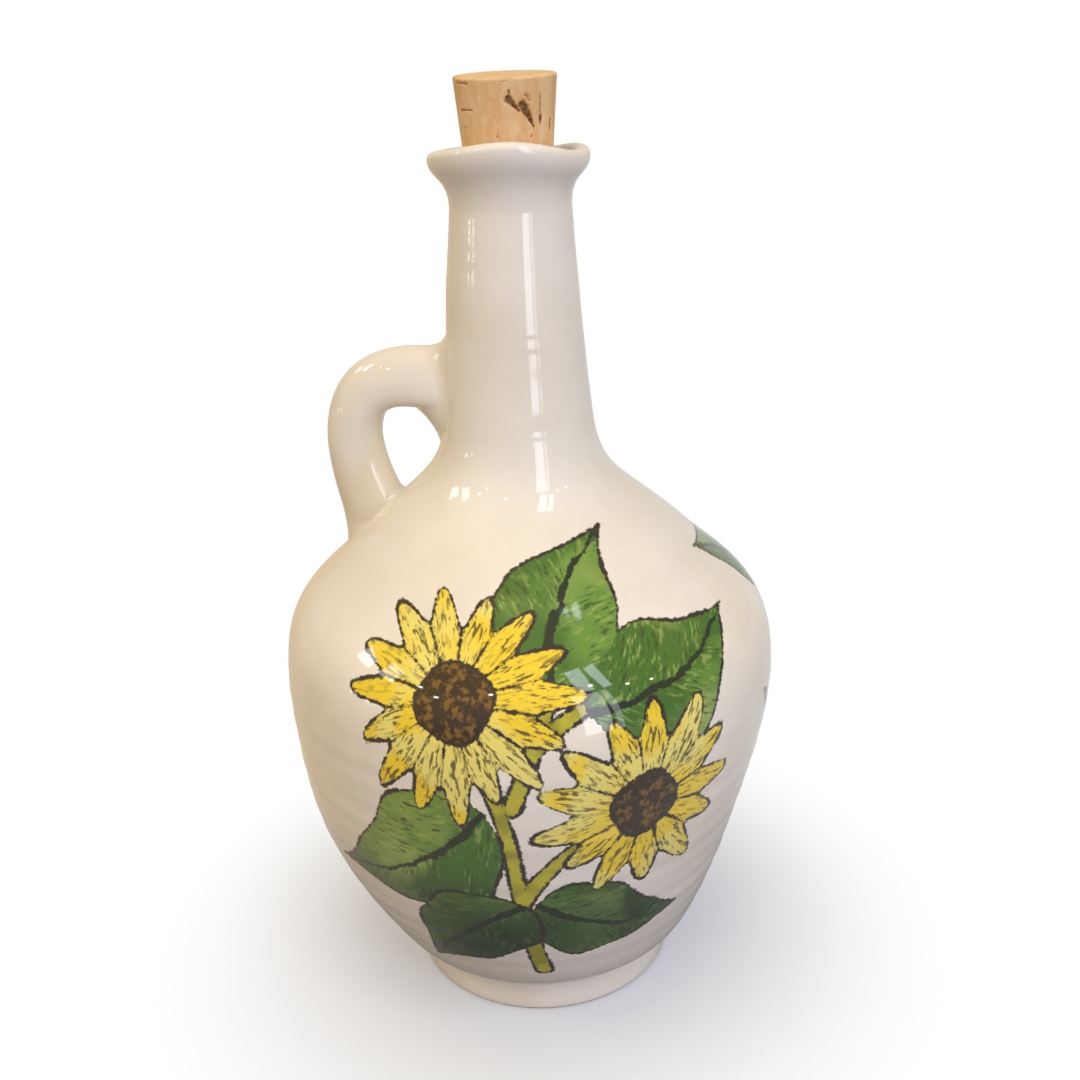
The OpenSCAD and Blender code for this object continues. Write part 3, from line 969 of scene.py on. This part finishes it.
# %% Green washes
GREENS = (("#9aae5c", "#54703f"), ("#6a923c", "#304d26"), ("#3f6a22", "#1d3816"), ("#3a4a20", "#1d3816"))
RIB = "#232f1c"
RIB_HALF = 1.35
VEIN_MARK = (1.5, 6.0)
LOW_FROM = 45 * MM
LOW_TO = 72 * MM

low = ramp(part_of(place_in, "Z"), LOW_FROM, LOW_TO, 1.0, 0.0)
light, mid, deep, dark = (lay(high_up, low_down, low) for high_up, low_down in GREENS)


def leaf_wash(prefix):
    """The greens of a leaf: light, mid and deep washes, dry brush marks along the veins and a dark rib.

    The washes are deeper on one side of the rib. The veins leave the rib at half a right angle, and the rib
    thins towards the tip."""
    side, along = stored(prefix + "_side"), stored(prefix + "_along")
    out = calc("ABSOLUTE", side)
    green = lay(mid, light, ramp(washes, 0.42, 0.7, 0.0, 0.9))
    half = times(calc("TANH", times(side, 0.15)), 0.1)
    green = lay(green, deep, ramp(calc("SUBTRACT", pools, half), 0.42, 0.56, 0.9, 0.0))
    across_vein, along_vein = calc("SUBTRACT", out, along), calc("ADD", out, along)
    brush = strokes(across_vein, along_vein, calc("SIGN", side), *VEIN_MARK)
    where = ramp(dabs, 0.38, 0.56)
    green = lay(green, light, times(ramp(brush, 0.34, 0.46, 0.7, 0.0), where))
    green = lay(green, dark, times(ramp(brush, 0.55, 0.66, 0.0, 0.85), where))
    wander = calc("ABSOLUTE", calc("ADD", side, times(uneven, 3.0)))
    thinner = calc("ADD", wander, times(along, 0.02))
    return lay(green, RIB, line(thinner, RIB_HALF))


# %% [markdown]
# ## Flowers, stems and the finished painting
# The petals are two yellows with brown streaks from heart to tip, and the heart is a crowd of dark seeds.
# The layers go on as the painter put them: stems, leaves, flowers, and the leaves that lie over them. The
# glass of the glaze covers all.

# %% Painted glaze
PETAL = "#f0d233"
PETAL_PALE = "#ece07c"
PETAL_STROKE = "#55482c"
PETAL_MARK = (0.9, 3.5)
GAP_HALF = 0.3
HEART = "#7b5a24"
HEART_DOT = "#352716"
SEED = 2.6
STEM = "#bdb636"
STEM_SHADE = "#98942a"

streaks = strokes(stored("petal_across"), stored("petal_far"), stored("petal_number"), *PETAL_MARK)
streaks = times(ramp(streaks, 0.51, 0.61, 0.0, 0.9), ramp(dabs, 0.34, 0.56, 0.3))
yellow = lay(PETAL, PETAL_PALE, ramp(washes, 0.46, 0.62))
yellow = lay(yellow, PETAL_STROKE, streaks)
yellow = lay(yellow, OUTLINE, line(stored("petal_gap"), GAP_HALF))
seeds = calc("ADD", cells(place_in, SEED), ragged)
heart = lay(HEART, HEART_DOT, ramp(seeds, 0.15, 0.6))
sunflower = filled(yellow, stored("heart_edge"), heart)
stalk = lay(STEM, STEM_SHADE, ramp(dabs, 0.42, 0.62))

paint = glaze_colour(place_in)
paint = filled(paint, stored("stem_edge"), stalk)
paint = filled(paint, stored("leaf_edge"), leaf_wash("leaf"))
paint = filled(paint, stored("petal_edge"), sunflower)
paint = filled(paint, stored("over_edge"), leaf_wash("over"))
wear(painted, glaze_gloss(place_in, paint), belly)

# %% [markdown]
# ## Cork
# Cork is bark: soft, dry and dull, a warm tan with fine darker grain and pores. It was cut and sanded, so
# it has no shine at all. Its cut top shows the bark's yearly bands and pores end on, and it is painted a
# little paler than its side: painted light on the face that looks up.

# %% Natural cork
CORK = "#e0b581"
CORK_PALE = "#ebca9d"
CORK_DARK = "#a8743e"
CORK_PIT = "#4d3016"
YEAR = 2.4
PORE = 2.6

cork_finish, tree = new_finish("natural_cork")
place_in = coordinates()
streak = noise(add("ShaderNodeMapping", {"Vector": place_in, "Scale": (1.0, 1.0, 0.35)}), 3, 4.0, 0.65)
fine = noise(place_in, 0.7, 2.0)
crumb = noise(place_in, 0.9, 4.0, 0.7)
on_top = ramp(part_of(place_in, "Z"), (cork_top_z - 0.5) * MM, (cork_top_z - 0.1) * MM)
tan = lay(CORK, CORK_PALE, ramp(streak, 0.35, 0.7))
# Painted light: the top is paler than the side, as if lit from above.
tan = lay(tan, CORK_PALE, times(on_top, 0.75))
tan = lay(tan, CORK_DARK, ramp(fine, 0.62, 0.76, 0.0, 0.4))

bands = add("ShaderNodeMapping", {"Vector": place_in, "Scale": (0.3, 1.0, 1.0)})
year = noise(bands, YEAR, 3.0, 0.6)
tan = lay(tan, CORK_DARK, times(on_top, ramp(year, 0.52, 0.7, 0.0, 0.45)))
open_pore = times(ramp(cells(bands, PORE), 0.1, 0.2, 1.0, 0.0), ramp(crumb, 0.48, 0.58))
tan = lay(tan, CORK_PIT, times(open_pore, times(on_top, 0.8)))

hole = stored("pit")
tear = times(calc("SUBTRACT", crumb, 0.5), ramp(hole, 0.02, 0.3, 0.0, 2.1))
torn = calc("ADD", hole, tear)
mottle = ramp(fine, 0.4, 0.6, 1.0, 0.6)
tan = lay(tan, CORK_DARK, ramp(torn, 0.12, 0.36, 0.0, 0.8))
tan = lay(tan, CORK_PIT, times(ramp(torn, 0.46, 0.7), mottle))
dry = add("ShaderNodeBump", {"Height": fine, "Strength": 0.5, "Distance": 0.15 * MM})
bark = add("ShaderNodeBsdfPrincipled", {"Base Color": tan, "Roughness": 0.85, "IOR": 1.4, "Normal": dry})
wear(cork_finish, bark, cork)

# %% [markdown]
# ## Floor
# The bottle stands on a pale floor that runs on to white. For rays from the camera the floor is partly its
# own white, and wholly so a hand's breadth off. The rest takes light, which is enough for a soft shadow.
# Mirrored in the glaze it turns to white more slowly, and it is warmer on the left.

# %% Floor
FLOOR_HALF = 60.0
FLOOR_WHITE = "#e2e9f9"
FLOOR_WARM = "#ffe4c0"
FLOOR_BOUNCE = "#6e6b6c"
WHITE = (1, 1, 1, 1)

corners = [(x * FLOOR_HALF, y * FLOOR_HALF, 0) for x, y in ((-1, -1), (1, -1), (1, 1), (-1, 1))]
floor_mesh = bpy.data.meshes.new("floor")
floor_mesh.from_pydata(corners, [], [(0, 1, 2, 3)])
floor = bpy.data.objects.new("floor", floor_mesh)
scene.collection.objects.link(floor)
floor_finish, tree = new_finish("pale_floor")


def rays():
    """1 for rays from the camera, and 1 for rays mirrored or seen through glass."""
    ray = tree.nodes.new("ShaderNodeLightPath").outputs
    return ray["Is Camera Ray"], calc("MAXIMUM", ray["Is Glossy Ray"], ray["Is Transmission Ray"])


direct, mirrored = rays()
place_in = coordinates()
away = add("ShaderNodeVectorMath", {0: place_in}, out="Value", operation="LENGTH")
white_seen = times(direct, ramp(away, 0.04, 0.125, 0.1, 1.0))
white_mirrored = times(mirrored, ramp(away, 0.04, 0.14, 0.15, 0.7))
matt = add("ShaderNodeBsdfDiffuse", {"Color": lay(FLOOR_BOUNCE, FLOOR_WHITE, direct)})
warmth = times(mirrored, ramp(part_of(place_in, "X"), -0.15, 0.0, 1.0, 0.0))
white = add("ShaderNodeEmission", {"Color": lay(WHITE, FLOOR_WARM, warmth), "Strength": 1.0})
mixed = add("ShaderNodeMixShader", {0: calc("MAXIMUM", white_seen, white_mirrored), 1: matt, 2: white})
wear(floor_finish, mixed, floor)

# %% [markdown]
# ## Room
# A studio lights a glossy pot with large soft sides, because a glaze mirrors whatever has an edge. Here two
# warm sides overhead, a cool one in front and one behind are smooth lobes in the world's colour. The camera
# itself sees plain white.

# %% Room
ROOM = "#988d88"
ROOM_LOW = "#a6a095"
BRIGHT_SIDES = (
    ((-0.55, -0.40, 0.73), 0.55, "#eed069"),
    ((0.50, -0.25, 0.83), 0.55, "#aaa473"),
    ((0.08, -0.90, 0.42), 0.45, "#1a3b95"),
    ((0.00, 0.93, 0.37), 0.45, "#a8a297"))

world = bpy.data.worlds.new("studio")
scene.world = world
world.use_nodes = True
tree = world.node_tree
tree.nodes.clear()
way = coordinates("Generated")
room = lay(ROOM_LOW, ROOM, ramp(part_of(way, "Z"), 0.0, 0.45))
for aim, rim, colour in BRIGHT_SIDES:
    near = add("ShaderNodeVectorMath", {0: way, 1: aim}, out="Value", operation="DOT_PRODUCT")
    room = lay(room, colour, ramp(near, rim, 0.97), "ADD")
direct, mirrored = rays()
room = lay(room, WHITE, calc("MAXIMUM", direct, times(mirrored, 0.1)))
add("ShaderNodeOutputWorld", {0: add("ShaderNodeBackground", {"Color": room, "Strength": 1.0})})
print("room sides:", len(BRIGHT_SIDES))

# %% [markdown]
# ## Windows and spots
# Small bright things make glass look like glass. A few narrow windows stand left and right, and seven small
# spots hang overhead. Each is a rectangle of light at a real place, turned to the bottle.

# %% Lamps
BELLY_AIM = (0, 0, 120)
NECK_AIM = (0, 0, 200)
SPOT_FAR = 1300
SPOT_SIZE = (34, 34)
SPOT_WATTS = 0.14
SPOT_COLOUR = "#fff2d8"
SPOTS = ((-72, 37), (-57, 43), (-47, 39), (-22, 50), (33, 51), (50, 43), (62, 38))
WINDOWS = (
    ("right_window", (390, -780, 415), NECK_AIM, (200, 750), 2.6, "#eef3ff"),
    ("right_window_side", (517, -699, 415), NECK_AIM, (50, 750), 0.45, "#eef3ff"),
    ("right_window_top", (340, -610, 1000), BELLY_AIM, (120, 330), 0.9, "#e6f0ff"),
    ("right_window_corner", (470, -540, 990), BELLY_AIM, (80, 330), 0.6, "#e6f0ff"),
    ("left_window", (-830, 20, 670), BELLY_AIM, (150, 130), 0.45, "#f4f8ff"),
    ("left_window_side", (-770, -190, 720), BELLY_AIM, (130, 190), 0.5, "#e6f0ff"),
    ("left_pane_high", (-890, -125, 197), NECK_AIM, (60, 16), 0.028, "#fff6ea"),
    ("left_pane_low", (-890, -125, 175), NECK_AIM, (60, 14), 0.022, "#fff6ea"),
    ("left_side_pane_high", (-860, -270, 197), NECK_AIM, (80, 16), 0.02, "#fff6ea"),
    ("left_side_pane_low", (-860, -270, 175), NECK_AIM, (80, 14), 0.015, "#fff6ea"))


def lamp(name, at, aim, size, watts, colour):
    """A rectangular lamp at a place in millimetres, facing another place."""
    light_data = bpy.data.lights.new(name, "AREA")
    light_data.shape = "RECTANGLE"
    light_data.size, light_data.size_y = size[0] * MM, size[1] * MM
    light_data.energy = watts
    light_data.color = linear(colour)[:3]
    made = bpy.data.objects.new(name, light_data)
    scene.collection.objects.link(made)
    made.location = Vector(at) * MM
    made.rotation_euler = (Vector(aim) - Vector(at)).to_track_quat("-Z", "Y").to_euler()


for window in WINDOWS:
    lamp(*window)
for number, (turn_right, elevation) in enumerate(SPOTS):
    azimuth, tip = math.radians(turn_right - 90), math.radians(elevation)
    spread = Vector((math.cos(azimuth) * math.cos(tip), math.sin(azimuth) * math.cos(tip), math.sin(tip)))
    lamp(f"spot_{number}", spread * SPOT_FAR, BELLY_AIM, SPOT_SIZE, SPOT_WATTS, SPOT_COLOUR)
scene.view_settings.view_transform = "Standard"
print("lamps:", len(WINDOWS) + len(SPOTS))
